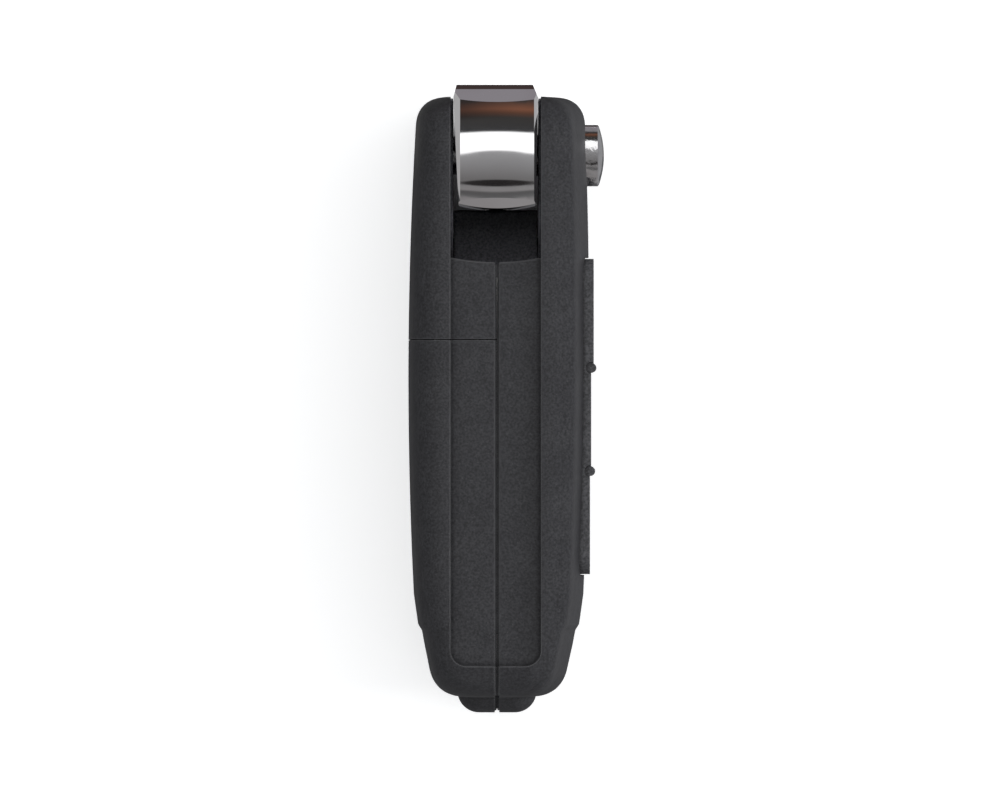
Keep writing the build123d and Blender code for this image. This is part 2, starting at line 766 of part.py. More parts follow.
# Transponder: a glass capsule lying in the frame's clip
with BuildPart() as transponder_capsule:
    with BuildSketch(Plane.XY.offset(capsule_z - capsule_length / 2)):
        with Locations((parting_x + tray_rear - capsule_radius, capsule_y)):
            Circle(capsule_radius)
    extrude(amount=capsule_length)
    fillet(transponder_capsule.edges().filter_by(GeomType.CIRCLE), capsule_round)
save(transponder_capsule, "transponder_capsule")

# Screws into the front shell's bosses
screw_seats = (("head_screw", head_screw_y, tab_rear), ("tail_screw", tail_screw_y, tray_rear))
for name, screw_y, seat in screw_seats:
    with BuildPart() as screw:
        disc(screw_y, screw_z, screw_head_radius, seat - screw_head_height, seat)
        fillet(screw.faces().sort_by(Axis.X)[0].edges(), screw_head_round)
        disc(screw_y, screw_z, screw_radius, seat, board_rear)
        with BuildSketch(across(seat - screw_head_height)):
            with Locations((screw_y, screw_z)):
                Rectangle(screw_slot_length, screw_slot_width)
                Rectangle(screw_slot_width, screw_slot_length)
        extrude(amount=screw_slot_depth, mode=Mode.SUBTRACT)
    save(screw, name)

# Steel plates that close the hollow in each cheek and stand proud of it, one each side of the head
plate_trim = plate_radius - running_clearance
plate_end_y = head_end_y - plate_edge_gap
for name, side, pocket_side, hole in (
    ("front_plate", 1, pocket_front, plunger_radius + plunger_gap),
    ("rear_plate", -1, pocket_rear, shaft_radius),
):
    with BuildPart() as plate:
        back_of_plate = pocket_side + side * plate_thickness
        face_of_plate = pocket_side - side * plate_proud
        disc(pivot_y, mid_z, plate_trim, pocket_side, back_of_plate)
        add(case_inner, mode=Mode.INTERSECT)
        disc(pivot_y, mid_z, plate_trim, face_of_plate, pocket_side)
        block((-whole, plate_end_y, -whole), (whole, whole, whole), Mode.SUBTRACT)
        disc(pivot_y, mid_z, hole, face_of_plate, back_of_plate, Mode.SUBTRACT)
    save(plate, name)

# Pivot shaft, with its flange against the back of the rear plate
with BuildPart() as pivot_shaft:
    flange_x = pocket_rear - plate_thickness
    disc(pivot_y, mid_z, shaft_radius + shaft_flange, flange_x - shaft_flange_height, flange_x)
    disc(pivot_y, mid_z, shaft_radius, shaft_foot_gap - back_bulge + wall, shaft_end)
    chamfer(pivot_shaft.faces().sort_by(Axis.X)[-1].edges(), shaft_chamfer)
save(pivot_shaft, "pivot_shaft")

# Blade carrier: the bright bar across the head, barrel-faced at both ends
facet_y = carrier_top - top_strip - top_facet
facet_z = sqrt(carrier_radius**2 - facet_y**2)
low_facet_y = carrier_bottom - low_facet
low_facet_z = sqrt(carrier_radius**2 - low_facet_y**2)
with BuildPart() as blade_carrier:
    with BuildSketch(across(carrier_rear)):
        with BuildLine():
            strip_z = mid_z + facet_z - top_facet_drop
            end_half = [
                (carrier_top_y, strip_z - top_strip_drop),
                (carrier_top_y - top_strip, strip_z),
                (pivot_y + facet_y, mid_z + facet_z),
                (pivot_y + facet_y, case_width),
                (pivot_y - low_facet_y, case_width),
                (pivot_y - low_facet_y, mid_z + low_facet_z),
                (carrier_low_y, mid_z + low_facet_z - low_facet_drop),
            ]
            other_half = [(y, 2 * mid_z - z) for y, z in reversed(end_half)]
            Polyline(*end_half, *other_half, close=True)
        make_face()
    extrude(amount=carrier_front - carrier_rear)
    with BuildSketch(Plane.XY.offset(mid_z)):
        with BuildLine():
            bar_rear = parting_x + carrier_rear
            bar_front = parting_x + carrier_front
            edge_y = pivot_y - carrier_side_radius + bevel_drop
            rear_side = (bar_rear + rear_bevel_width, pivot_y - carrier_side_radius)
            front_side = (bar_front - front_bevel_width, pivot_y - carrier_side_radius)
            Line((bar_rear, pivot_y), (bar_rear, edge_y))
            Line((bar_rear, edge_y), rear_side)
            ThreePointArc(rear_side, (parting_x, pivot_y - carrier_radius), front_side)
            Line(front_side, (bar_front, edge_y))
            Line((bar_front, edge_y), (bar_front, pivot_y))
            Line((bar_front, pivot_y), (bar_rear, pivot_y))
        make_face()
    revolve(axis=Axis((0, pivot_y, mid_z), (1, 0, 0)), mode=Mode.INTERSECT)
    with BuildSketch(Plane.XY):
        with BuildLine():
            shoulder_y = carrier_top_y - top_facet
            lip_y = carrier_low_y + carrier_lip
            top_rear = (bar_rear + top_rear_shoulder, carrier_top_y)
            top_front = (bar_front - top_front_shoulder, carrier_top_y)
            Line(top_rear, top_front)
            Line(top_front, (bar_front, shoulder_y))
            low_front = (bar_front - front_taper, lip_y)
            low_rear = (bar_rear + rear_taper, lip_y)
            Line((bar_front, shoulder_y), low_front)
            ThreePointArc(low_front, (parting_x, carrier_low_y), low_rear)
            Line(low_rear, (bar_rear, shoulder_y))
            Line((bar_rear, shoulder_y), top_rear)
        make_face()
    extrude(amount=case_width, mode=Mode.INTERSECT)
    disc(pivot_y, mid_z, carrier_bore_radius, bore_floor, carrier_front, Mode.SUBTRACT)
    disc(pivot_y, mid_z, shaft_radius + running_clearance, carrier_rear, bore_floor, Mode.SUBTRACT)
    tang_low = (-tang_half, carrier_low_y, blade_low_z + tang_step)
    block(tang_low, (tang_half, tang_end_y, blade_high_z - tang_step), Mode.SUBTRACT)
    disc(pin_y, blade_z, pin_radius, carrier_rear + pin_end_gap, carrier_front, Mode.SUBTRACT)
    core_low = (bore_floor, pivot_y - core_below, mid_z + carrier_bore_radius + core_wall)
    core_high = (carrier_front, pivot_y + core_above, mid_z + carrier_radius - core_end_wall)
    block(core_low, core_high, Mode.SUBTRACT)
save(blade_carrier, "blade_carrier")

# Blade collar: moulded plastic round the root of the blade, under the carrier
with BuildPart() as blade_collar:
    collar_low_z = mid_z - carrier_radius
    collar_low = (carrier_rear + collar_side_gap, carrier_low_y - collar_length, collar_low_z)
    block(collar_low, (carrier_front - collar_side_gap, carrier_low_y, collar_low_z + collar_height))
    disc(pivot_y, mid_z, pocket_radius - collar_end_gap, carrier_rear, carrier_front, Mode.INTERSECT)
    fillet(blade_collar.edges().filter_by(Axis.X), collar_round)
    block((-tang_half, -whole, blade_low_z), (tang_half, carrier_low_y, blade_high_z), Mode.SUBTRACT)
save(blade_collar, "blade_collar")

# Key blade: tang in the carrier, tapered tip, a groove and a milled track on each face
with BuildPart() as key_blade:
    block((-tang_half, blade_tip_y, blade_low_z), (tang_half, blade_root_y, blade_high_z))
    tip_edges = key_blade.faces().sort_by(Axis.Y)[0].edges().filter_by(Axis.X)
    chamfer(tip_edges, blade_tip_chamfer)
    tip_faces = key_blade.faces().sort_by(Axis.Y)[0].edges().filter_by(Axis.Z)
    chamfer(tip_faces, blade_tip_thin)
    tang_low = (-tang_half, blade_root_y, blade_low_z + tang_step)
    block(tang_low, (tang_half, tang_end_y, blade_high_z - tang_step))
    disc(pin_y, blade_z, pin_radius, -tang_half, tang_half, Mode.SUBTRACT)
    track_step = (blade_length - collar_length - track_root_gap) / (len(track_zs) - 1)
    for side in (-1, 1):
        with BuildSketch(across(side * (tang_half - track_depth))) as track:
            with BuildLine():
                ys = [blade_tip_y - track_half + track_step * count for count in range(len(track_zs))]
                Spline(*[(y, blade_z + z) for y, z in zip(ys, track_zs)])
            trace(line_width=2 * track_half)
        extrude(amount=side * 2 * track_depth, mode=Mode.SUBTRACT)
save(key_blade, "key_blade")

# Roll pin through the carrier and the blade's tang
with BuildPart() as blade_pin:
    disc(pin_y, blade_z, pin_radius, carrier_rear + pin_end_gap, carrier_front - front_taper)
save(blade_pin, "blade_pin")

# Release button: a bright domed button with a flange behind the shell
with BuildPart() as release_button:
    with BuildSketch(Plane.XY.offset(mid_z)):
        with BuildLine():
            dome_start = parting_x + release_tip - release_dome - release_edge
            tip = parting_x + release_tip
            flange_rear_x = parting_x + release_flange_rear
            flange_front_x = parting_x + release_flange_front
            flange_y = pivot_y + release_radius + release_flange
            Line((flange_rear_x, pivot_y), (flange_rear_x, flange_y))
            Line((flange_rear_x, flange_y), (flange_front_x, flange_y))
            Line((flange_front_x, flange_y), (flange_front_x, pivot_y + release_radius))
            side_end = (dome_start, pivot_y + release_radius)
            Line((flange_front_x, pivot_y + release_radius), side_end)
            dome_radius_out = release_radius - release_edge
            dome_edge = (dome_start + release_edge, pivot_y + dome_radius_out)
            dome_height = tip - dome_edge[0]
            dome_sphere = (dome_radius_out**2 + dome_height**2) / (2 * dome_height)
            half_out = dome_radius_out / 2
            half_drop = dome_sphere - sqrt(dome_sphere**2 - half_out**2)
            Line(side_end, dome_edge)
            ThreePointArc(dome_edge, (tip - half_drop, pivot_y + half_out), (tip, pivot_y))
            Line((tip, pivot_y), (flange_rear_x, pivot_y))
        make_face()
    revolve(axis=Axis((0, pivot_y, mid_z), (1, 0, 0)))
save(release_button, "release_button")

# Release plunger under the button, hollow for its spring
with BuildPart() as release_plunger:
    disc(pivot_y, mid_z, plunger_radius, plunger_inner, release_flange_rear)
    disc(pivot_y, mid_z, release_spring_bore, plunger_inner, spring_bore_end, Mode.SUBTRACT)
save(release_plunger, "release_plunger")


def coil_spring(start_depth, end_depth, radius, wire_radius, turns):
    """A helical spring about the pivot axis, between two depths."""
    length = end_depth - start_depth - 2 * wire_radius
    foot = Vector(parting_x + start_depth + wire_radius, pivot_y, mid_z)
    with BuildLine() as coil:
        Helix(pitch=length / turns, height=length, radius=radius, center=foot, direction=(1, 0, 0))
    with BuildSketch(Plane(origin=coil.line @ 0, z_dir=coil.line % 0)) as wire:
        Circle(wire_radius)
    sweep(wire.sketch, path=coil.line)


# Flip spring round the plunger, inside the carrier's bore
with BuildPart() as flip_spring:
    spring_end = pocket_front - plate_proud
    coil_spring(bore_floor, spring_end, flip_spring_radius, flip_wire_radius, flip_spring_turns)
save(flip_spring, "flip_spring")

# Release spring between the pivot shaft and the plunger
with BuildPart() as release_spring:
    spring_bounds = (shaft_end, spring_bore_end)
    coil_spring(*spring_bounds, release_spring_radius, release_wire_radius, release_spring_turns)
save(release_spring, "release_spring")
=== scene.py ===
import json
from math import cos, radians, sin, tan

import bpy
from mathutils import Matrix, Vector


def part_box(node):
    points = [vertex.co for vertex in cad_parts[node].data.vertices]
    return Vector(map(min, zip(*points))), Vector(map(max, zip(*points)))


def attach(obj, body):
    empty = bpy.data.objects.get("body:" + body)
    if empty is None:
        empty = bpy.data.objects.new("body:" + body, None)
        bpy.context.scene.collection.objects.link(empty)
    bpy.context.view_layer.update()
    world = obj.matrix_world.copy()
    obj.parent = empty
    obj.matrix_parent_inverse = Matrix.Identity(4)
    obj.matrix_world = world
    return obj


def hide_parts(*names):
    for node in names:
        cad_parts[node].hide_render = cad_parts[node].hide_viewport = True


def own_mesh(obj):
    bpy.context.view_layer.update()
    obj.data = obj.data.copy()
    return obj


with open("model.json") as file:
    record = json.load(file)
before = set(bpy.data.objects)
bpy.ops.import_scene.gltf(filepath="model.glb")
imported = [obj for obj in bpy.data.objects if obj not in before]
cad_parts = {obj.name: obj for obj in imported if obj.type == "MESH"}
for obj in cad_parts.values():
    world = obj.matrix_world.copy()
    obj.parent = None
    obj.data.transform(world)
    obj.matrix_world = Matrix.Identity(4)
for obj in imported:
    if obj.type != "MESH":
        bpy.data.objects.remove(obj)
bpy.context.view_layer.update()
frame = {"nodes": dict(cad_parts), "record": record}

MM = 0.001

# Photograph: 1000 x 800 pixels, looking straight down on the resting key
IMAGE_WIDTH_PX = 1000
IMAGE_CENTRE_PX = (500.0, 400.0)
PIXELS_PER_MM = 8.0
PARTING_LINE_PX = 497.0
MIDDLE_Y_PX = 399.5
PARTING_LINE_X = -1.15 * MM
CAMERA_HEIGHT = 2.5
SENSOR_WIDTH_MM = 36.0
KEY_MID_HEIGHT = 24.0 * MM

# How far sharp edges are rounded in the shading, from what lean of the normal they look worn and carry a
# painted highlight, and the shade of both
EDGE_SOFTNESS = 0.28 * MM
WEAR_AND_HIGHLIGHT_STARTS = 0.985
WEAR_AND_HIGHLIGHT_FULL = 0.86
WEAR_AND_HIGHLIGHT_SHADE = (0.115, 0.115, 0.12)

# Painted shade in crevices of the plastic: how wide it lies, how open a face is where it ends and where
# it is darkest, and the share of light left under it
PAINTED_SHADE_REACH = 0.7 * MM
PAINTED_SHADE_ENDS = 0.9
PAINTED_SHADE_FULL = 0.45
PAINTED_SHADE_LEAST = 0.42
PLASTIC_GLOSS = 0.4
SHADING_SAMPLES = 6

# Features of the plastic, per metre
GRAIN = 3600.0
SPECKS = 4300.0
MOTTLE = 260.0
# Patches in the worn edges and their painted highlight
WEAR_AND_HIGHLIGHT_PATCHES = 700.0
ROUGH_PATCHES = 900.0

# Lips that close the narrow gaps between the case halves and at the seam
CHANNEL_DEPTH = 1.8 * MM
CHANNEL_END_Y = -33.2 * MM
SEAM_Y = 7.45 * MM
GROOVE_DEPTH = 0.25 * MM
LIP_THICKNESS = 0.06 * MM
LIP_HEIGHT = 0.4 * MM
LIP_INSET = 0.05 * MM
RECESS_EDGE_Y = 16.2 * MM
SEAM_LIP_REACH = 2.9 * MM
SEAM_LIP_HALF = 12.0 * MM
SEAM_LIP_INSET = 0.12 * MM
SEAM_LIP_STEPS = 12
BACK_CROWN = 0.5 * MM

# Lamps; the softbox is placed by its reflection angles, from straight up towards the head (+Y)
AMBIENT_COLOUR = (0.96, 0.98, 1.0)
AMBIENT_STRENGTH = 0.5
SOFTBOX_LOW = 4.0
SOFTBOX_HIGH = 19.0
SOFTBOX_HEIGHT = 0.9
SOFTBOX_WIDTH = 1.2
SOFTBOX_WATTS = 3.2
RIGHT_LIGHT_PLACE = (1.1, 0.1, 0.55)
RIGHT_LIGHT_TARGET = (0.0, 0.0, 0.02)
RIGHT_LIGHT_SIZE = (0.5, 0.9)
RIGHT_LIGHT_WATTS = 8.0

# Floor: its glow fades where the key closes in on it, a painted shadow near and under the key
FLOOR_HALF = 3.0
FLOOR_SHADE = 0.82
FLOOR_GLOW = 0.5
FLOOR_CLOSED_REACH = 30.0 * MM
FLOOR_DARK_BELOW = 0.12
FLOOR_BRIGHT_ABOVE = 0.34
FLOOR_SAMPLES = 8

# Grey cards that the bright metal mirrors: their places
CARD_CENTRE = (0.0, 0.0305, 0.030)
CARD_RADIUS = 1.3
CARD_HALF_LENGTH = 0.9
ARCH_STEPS = 48
FLOOR_CARD_HEIGHT = 0.0002
END_SPLIT_HEIGHT = 0.42
BRIGHT_FLOOR_FROM = 20.0 * MM

# Shades of the end cards, below and above the split
LEFT_END_SHADES = ((0.15, 0.15, 0.155), (0.42, 0.415, 0.415))
RIGHT_END_SHADES = ((0.30, 0.30, 0.31), (0.46, 0.46, 0.465))

# Bands across the tunnel of cards. They bow aside, by so many degrees at each reflection angle
BANDS_HALF_WIDTH = 0.33
BOW_REACH = 75.0 * MM
BOW_MOST = 1.3
BOW_FULL = 12.0
BOW_SHIFTS = [
    (-60, 0.0),
    (-34, -2.5),
    (-22, 0.0),
    (-2, 4.0),
    (10, 2.5),
    (17, 1.2),
    (45, 0.6),
    (90, 0.0),
]

# Dark oval in the lower bands, and the brown band that fades to dark on the left
LENS_CENTRE = -23.2
LENS_HALF = 2.9
LENS_NARROWING = 1.1
LENS_EDGE = (1.1, 0.85)
LENS_SHADE = (0.020, 0.018, 0.018)
BROWN_BAND = [(29, 0.0), (32, 1.0), (47, 1.0), (50, 0.0)]
BROWN_FADE_FROM = -1.0
BROWN_FADE_TO = 0.5
BROWN_FADE_MOST = 0.75

# Shade of the bands by reflection angle, in degrees
CARD_SHADES = [
    (-180, (0.10, 0.10, 0.105)),
    (-100, (0.15, 0.15, 0.155)),
    (-84, (0.30, 0.29, 0.29)),
    (-60, (0.25, 0.24, 0.24)),
    (-36, (0.25, 0.24, 0.24)),
    (-35, (0.12, 0.12, 0.12)),
    (-31, (0.09, 0.088, 0.088)),
    (-30, (0.25, 0.24, 0.24)),
    (-27, (0.24, 0.235, 0.235)),
    (-19.5, (0.17, 0.165, 0.165)),
    (3.4, (0.33, 0.33, 0.335)),
    (4.0, (1.35, 1.35, 1.35)),
    (18.6, (1.35, 1.35, 1.35)),
    (19.4, (0.045, 0.045, 0.047)),
    (31, (0.045, 0.042, 0.040)),
    (35, (0.11, 0.052, 0.034)),
    (38, (0.205, 0.085, 0.051)),
    (42, (0.12, 0.060, 0.042)),
    (44, (0.05, 0.040, 0.038)),
    (49, (0.05, 0.045, 0.045)),
    (57, (0.24, 0.23, 0.24)),
    (84, (0.26, 0.24, 0.26)),
    (112, (0.14, 0.12, 0.12)),
    (118, (0.045, 0.030, 0.028)),
    (128, (0.030, 0.025, 0.025)),
    (140, (0.12, 0.12, 0.12)),
    (180, (0.20, 0.20, 0.20)),
]


def make_camera():
    """A long lens straight above the key, framed as the photograph is."""
    data = bpy.data.cameras.new("camera")
    camera = bpy.data.objects.new("camera", data)
    bpy.context.scene.collection.objects.link(camera)
    centre_x = PARTING_LINE_X + (IMAGE_CENTRE_PX[0] - PARTING_LINE_PX) / PIXELS_PER_MM * MM
    centre_y = (MIDDLE_Y_PX - IMAGE_CENTRE_PX[1]) / PIXELS_PER_MM * MM
    camera.location = (centre_x, centre_y, CAMERA_HEIGHT)
    view_width = IMAGE_WIDTH_PX / PIXELS_PER_MM * MM
    data.sensor_width = SENSOR_WIDTH_MM
    data.lens = SENSOR_WIDTH_MM * (CAMERA_HEIGHT - KEY_MID_HEIGHT) / view_width
    data.clip_start = 0.01
    data.clip_end = 20.0
    bpy.context.scene.camera = camera


def add_object(name, points, faces, material):
    """A mesh object with one material."""
    mesh = bpy.data.meshes.new(name)
    mesh.from_pydata(points, [], faces)
    mesh.materials.append(material)
    made = bpy.data.objects.new(name, mesh)
    bpy.context.scene.collection.objects.link(made)
    return made


# Node helpers

def new_material(name):
    """An empty node material with its output, ready for a shader."""
    material = bpy.data.materials.new(name)
    material.use_nodes = True
    tree = material.node_tree
    tree.nodes.clear()
    output = tree.nodes.new("ShaderNodeOutputMaterial")
    return material, tree, output


def node(tree, kind, **settings):
    """A node with its properties set."""
    made = tree.nodes.new(kind)
    for name, value in settings.items():
        setattr(made, name, value)
    return made


def noise(tree, scale, detail=3.0, stretch=(1.0, 1.0, 1.0)):
    """Noise in object space; scale counts features per metre."""
    place = node(tree, "ShaderNodeTexCoord")
    mapping = node(tree, "ShaderNodeMapping")
    mapping.inputs["Scale"].default_value = stretch
    made = node(tree, "ShaderNodeTexNoise")
    made.inputs["Scale"].default_value = scale
    made.inputs["Detail"].default_value = detail
    tree.links.new(place.outputs["Object"], mapping.inputs["Vector"])
    tree.links.new(mapping.outputs["Vector"], made.inputs["Vector"])
    return made.outputs["Fac"]


def ramp(tree, value, stops):
    """A colour ramp; each stop is a place from 0 to 1 and a colour."""
    made = node(tree, "ShaderNodeValToRGB")
    band = made.color_ramp
    while len(band.elements) < len(stops):
        band.elements.new(0.5)
    for element, (place, colour) in zip(band.elements, stops):
        element.position = place
        element.color = (*colour, 1.0)
    tree.links.new(value, made.inputs["Fac"])
    return made.outputs["Color"]


def grey(value):
    """An even colour."""
    return (value, value, value)


def spread(tree, value, low, high, start=0.0, end=1.0):
    """Map a value that runs from start to end to the range low to high."""
    made = node(tree, "ShaderNodeMapRange")
    made.inputs["From Min"].default_value = start
    made.inputs["From Max"].default_value = end
    made.inputs["To Min"].default_value = low
    made.inputs["To Max"].default_value = high
    tree.links.new(value, made.inputs["Value"])
    return made.outputs["Result"]


def calculate(tree, operation, first, second, third=None):
    """A sum on values; each after the first may be a socket or a plain number."""
    made = node(tree, "ShaderNodeMath", operation=operation)
    tree.links.new(first, made.inputs[0])
    for place, value in enumerate((second, third), start=1):
        if isinstance(value, float):
            made.inputs[place].default_value = value
        elif value is not None:
            tree.links.new(value, made.inputs[place])
    return made.outputs[0]


def multiply(tree, first, second):
    """The product of a value with another value or a plain number."""
    return calculate(tree, "MULTIPLY", first, second)


def bump(tree, height, distance, strength, under=None):
    """A bump whose full height is distance, in metres."""
    made = node(tree, "ShaderNodeBump")
    made.inputs["Distance"].default_value = distance
    made.inputs["Strength"].default_value = strength
    tree.links.new(height, made.inputs["Height"])
    if under is not None:
        tree.links.new(under, made.inputs["Normal"])
    return made.outputs["Normal"]


def mix_colour(tree, factor, under, over):
    """Blend a colour with a plain colour that lies over it."""
    made = node(tree, "ShaderNodeMix", data_type="RGBA")
    tree.links.new(factor, made.inputs["Factor"])
    tree.links.new(under, made.inputs[6])
    made.inputs[7].default_value = (*over, 1.0)
    return made.outputs[2]


def tint(tree, colour, by):
    """One colour multiplied by another."""
    made = node(tree, "ShaderNodeMix", data_type="RGBA", blend_type="MULTIPLY")
    made.inputs["Factor"].default_value = 1.0
    tree.links.new(colour, made.inputs[6])
    tree.links.new(by, made.inputs[7])
    return made.outputs[2]


def principled(tree, output, **values):
    """A Principled shader joined to the output, with plain socket values."""
    shader = node(tree, "ShaderNodeBsdfPrincipled")
    for name, value in values.items():
        shader.inputs[name.replace("_", " ")].default_value = value
    tree.links.new(shader.outputs["BSDF"], output.inputs["Surface"])
    return shader


def wire(tree, shader, **sockets):
    """Join sockets to the shader's inputs."""
    for name, socket in sockets.items():
        tree.links.new(socket, shader.inputs[name.replace("_", " ")])


def face_normal(tree):
    """The surface's own normal."""
    return node(tree, "ShaderNodeNewGeometry").outputs["Normal"]


# Materials

def edge_wear_and_highlight(tree, soft_normal):
    """1 on sharp edges, 0 on flat faces, from how far the rounded normal leans; there edges look worn and
    get a painted highlight.
    """
    dot = node(tree, "ShaderNodeVectorMath", operation="DOT_PRODUCT")
    tree.links.new(face_normal(tree), dot.inputs[0])
    tree.links.new(soft_normal, dot.inputs[1])
    return spread(tree, dot.outputs["Value"], 0.0, 1.0, WEAR_AND_HIGHLIGHT_STARTS, WEAR_AND_HIGHLIGHT_FULL)


def crevice_painted_shade(tree):
    """1 on open faces, less in grooves and inner corners, where shade is painted."""
    open_share = node(tree, "ShaderNodeAmbientOcclusion", samples=SHADING_SAMPLES)
    open_share.inputs["Distance"].default_value = PAINTED_SHADE_REACH
    return spread(tree, open_share.outputs["AO"], PAINTED_SHADE_LEAST, 1.0, PAINTED_SHADE_FULL, PAINTED_SHADE_ENDS)


def moulded_plastic(name, dark, light, roughness, grain=GRAIN, grain_height=0.000026, wear_and_highlight=0.5):
    """Satin plastic: spark-eroded grain, pale specks, worn edges with a painted highlight, and painted
    shade in crevices.
    """
    material, tree, output = new_material(name)
    shader = principled(tree, output, IOR=1.5)
    unshaded = crevice_painted_shade(tree)
    soft = node(tree, "ShaderNodeBevel", samples=SHADING_SAMPLES)
    soft.inputs["Radius"].default_value = EDGE_SOFTNESS
    soft_normal = soft.outputs["Normal"]

    colour = ramp(tree, noise(tree, MOTTLE, 4.0), [(0.3, dark), (0.7, light)])
    grained = ramp(tree, noise(tree, grain, 3.0), [(0.34, grey(0.62)), (0.66, grey(1.4))])
    colour = tint(tree, colour, grained)
    specks = ramp(tree, noise(tree, SPECKS, 1.0), [(0.66, grey(0.0)), (0.76, grey(0.35))])
    pale = tuple(value * 2.4 + 0.02 for value in light)
    colour = mix_colour(tree, specks, colour, pale)
    # Sharp edges turn lighter: worn, with a painted highlight on them
    worn_and_lit = multiply(tree, edge_wear_and_highlight(tree, soft_normal), wear_and_highlight)
    patchy = spread(tree, noise(tree, WEAR_AND_HIGHLIGHT_PATCHES, 4.0), 0.35, 1.25)
    colour = mix_colour(tree, multiply(tree, worn_and_lit, patchy), colour, WEAR_AND_HIGHLIGHT_SHADE)
    # Painted shade in grooves and inner corners darkens the colour
    colour = tint(tree, colour, unshaded)

    rough = spread(tree, noise(tree, ROUGH_PATCHES, 5.0), *roughness)
    normal = bump(tree, noise(tree, grain, 2.0), grain_height, 1.0, soft_normal)
    # Painted shade in grooves and inner corners dims the gloss too
    gloss = multiply(tree, unshaded, PLASTIC_GLOSS)
    wire(tree, shader, Base_Color=colour, Roughness=rough, Normal=normal, Specular_IOR_Level=gloss)
    return material


def eased_normal(tree, normal, x_share, y_share, lean):
    """The normal with its parts along X and Y scaled, and a lean along Y, as on softer forms."""
    split = node(tree, "ShaderNodeSeparateXYZ")
    joined = node(tree, "ShaderNodeCombineXYZ")
    tree.links.new(normal, split.inputs[0])
    upward = multiply(tree, split.outputs["Z"], lean)
    along_x = multiply(tree, split.outputs["X"], x_share)
    along_y = calculate(tree, "MULTIPLY_ADD", split.outputs["Y"], y_share, upward)
    tree.links.new(along_x, joined.inputs["X"])
    tree.links.new(along_y, joined.inputs["Y"])
    tree.links.new(split.outputs["Z"], joined.inputs["Z"])
    unit = node(tree, "ShaderNodeVectorMath", operation="NORMALIZE")
    tree.links.new(joined.outputs[0], unit.inputs[0])
    return unit.outputs[0]


def worn_chrome(name):
    """Chrome on the release button: pitted and a little uneven from thumbs."""
    material, tree, output = new_material(name)
    shader = principled(tree, output, Metallic=1.0)
    shades = [(0.35, (0.66, 0.65, 0.66)), (0.65, (0.84, 0.84, 0.85))]
    colour = ramp(tree, noise(tree, 500.0, 4.0), shades)
    rough = spread(tree, noise(tree, 1500.0, 6.0), 0.04, 0.16)
    eased = eased_normal(tree, face_normal(tree), 1.0, 0.46, -0.083)
    waves = bump(tree, noise(tree, 900.0, 3.0), 0.00006, 0.5, eased)
    wire(tree, shader, Base_Color=colour, Roughness=rough, Normal=waves)
    return material


def chrome(name):
    """Polished chrome plate with faint handling haze."""
    material, tree, output = new_material(name)
    shader = principled(tree, output, Metallic=1.0)
    shades = [(0.35, (0.80, 0.79, 0.80)), (0.65, (0.86, 0.86, 0.87))]
    colour = ramp(tree, noise(tree, 120.0, 3.0), shades)
    rough = spread(tree, noise(tree, 700.0, 6.0), 0.03, 0.085)
    eased = eased_normal(tree, face_normal(tree), 0.5, 1.0, 0.0)
    waves = bump(tree, noise(tree, 90.0, 2.0), 0.00002, 0.25, eased)
    wire(tree, shader, Base_Color=colour, Roughness=rough, Normal=waves)
    return material


def steel(name, dark, light, roughness, along=(1.0, 0.04, 1.0)):
    """Steel with fine lines drawn along one direction."""
    material, tree, output = new_material(name)
    shader = principled(tree, output, Metallic=1.0)
    lines = noise(tree, 9000.0, 3.0, along)
    colour = ramp(tree, lines, [(0.3, dark), (0.7, light)])
    rough = spread(tree, lines, *roughness)
    normal = bump(tree, lines, 0.000008, 0.5)
    wire(tree, shader, Base_Color=colour, Roughness=rough, Normal=normal)
    return material


def circuit_green(name):
    """Green solder mask with paler copper tracks under it."""
    material, tree, output = new_material(name)
    shader = principled(tree, output, Roughness=0.35)
    tracks = noise(tree, 1400.0, 0.0, (0.2, 1.0, 0.35))
    colour = ramp(tree, tracks, [(0.47, (0.01, 0.09, 0.035)), (0.53, (0.03, 0.19, 0.08))])
    normal = bump(tree, tracks, 0.00003, 0.5)
    wire(tree, shader, Base_Color=colour, Normal=normal)
    return material


def give(material, *names):
    """Give CAD nodes one material in every slot."""
    for name in names:
        piece = frame["nodes"][name]
        piece.data.materials.clear()
        piece.data.materials.append(material)


def dress_plastic():
    """A material for every CAD node of plastic, rubber, resin or glass."""
    satin = (0.40, 0.52)
    matt = (0.5, 0.62)
    case = moulded_plastic("case_plastic", (0.025, 0.025, 0.028), (0.031, 0.031, 0.034), satin, wear_and_highlight=0.95)
    inner = moulded_plastic("frame_plastic", (0.010, 0.010, 0.011), (0.016, 0.016, 0.017), matt)
    recess = moulded_plastic("recess_black", (0.105, 0.105, 0.12), (0.125, 0.125, 0.14), matt, wear_and_highlight=0.1)
    # The pad is paler than the case: partly its own grey, partly painted light for the grazing light on
    # its sides
    rubber = moulded_plastic("pad_rubber", (0.060, 0.060, 0.064), (0.076, 0.076, 0.081), matt, wear_and_highlight=0.2)
    caps = moulded_plastic("button_rubber", (0.028, 0.028, 0.030), (0.036, 0.036, 0.038), matt, wear_and_highlight=0.3)
    pale = moulded_plastic("switch_plastic", (0.26, 0.25, 0.22), (0.34, 0.32, 0.29), (0.4, 0.5))
    chip = moulded_plastic("chip_resin", (0.012, 0.012, 0.012), (0.020, 0.020, 0.020), (0.35, 0.5))
    glass = moulded_plastic("capsule_glass", grey(0.02), grey(0.03), (0.05, 0.12), 900.0, 0.000004)
    give(case, "front_shell", "rear_head_cover", "battery_cover")
    give(inner, "inner_frame")
    give(recess, "blade_collar", "front_plate", "rear_plate")
    give(rubber, "button_pad")
    give(caps, "lock_button", "unlock_button", "boot_button")
    give(pale, "lock_switch", "unlock_switch", "boot_switch")
    give(pale, "lock_switch_stem", "unlock_switch_stem", "boot_switch_stem")
    give(chip, "microcontroller", "aerial_coil")
    give(glass, "transponder_capsule")
    give(circuit_green("circuit_board"), "circuit_board")


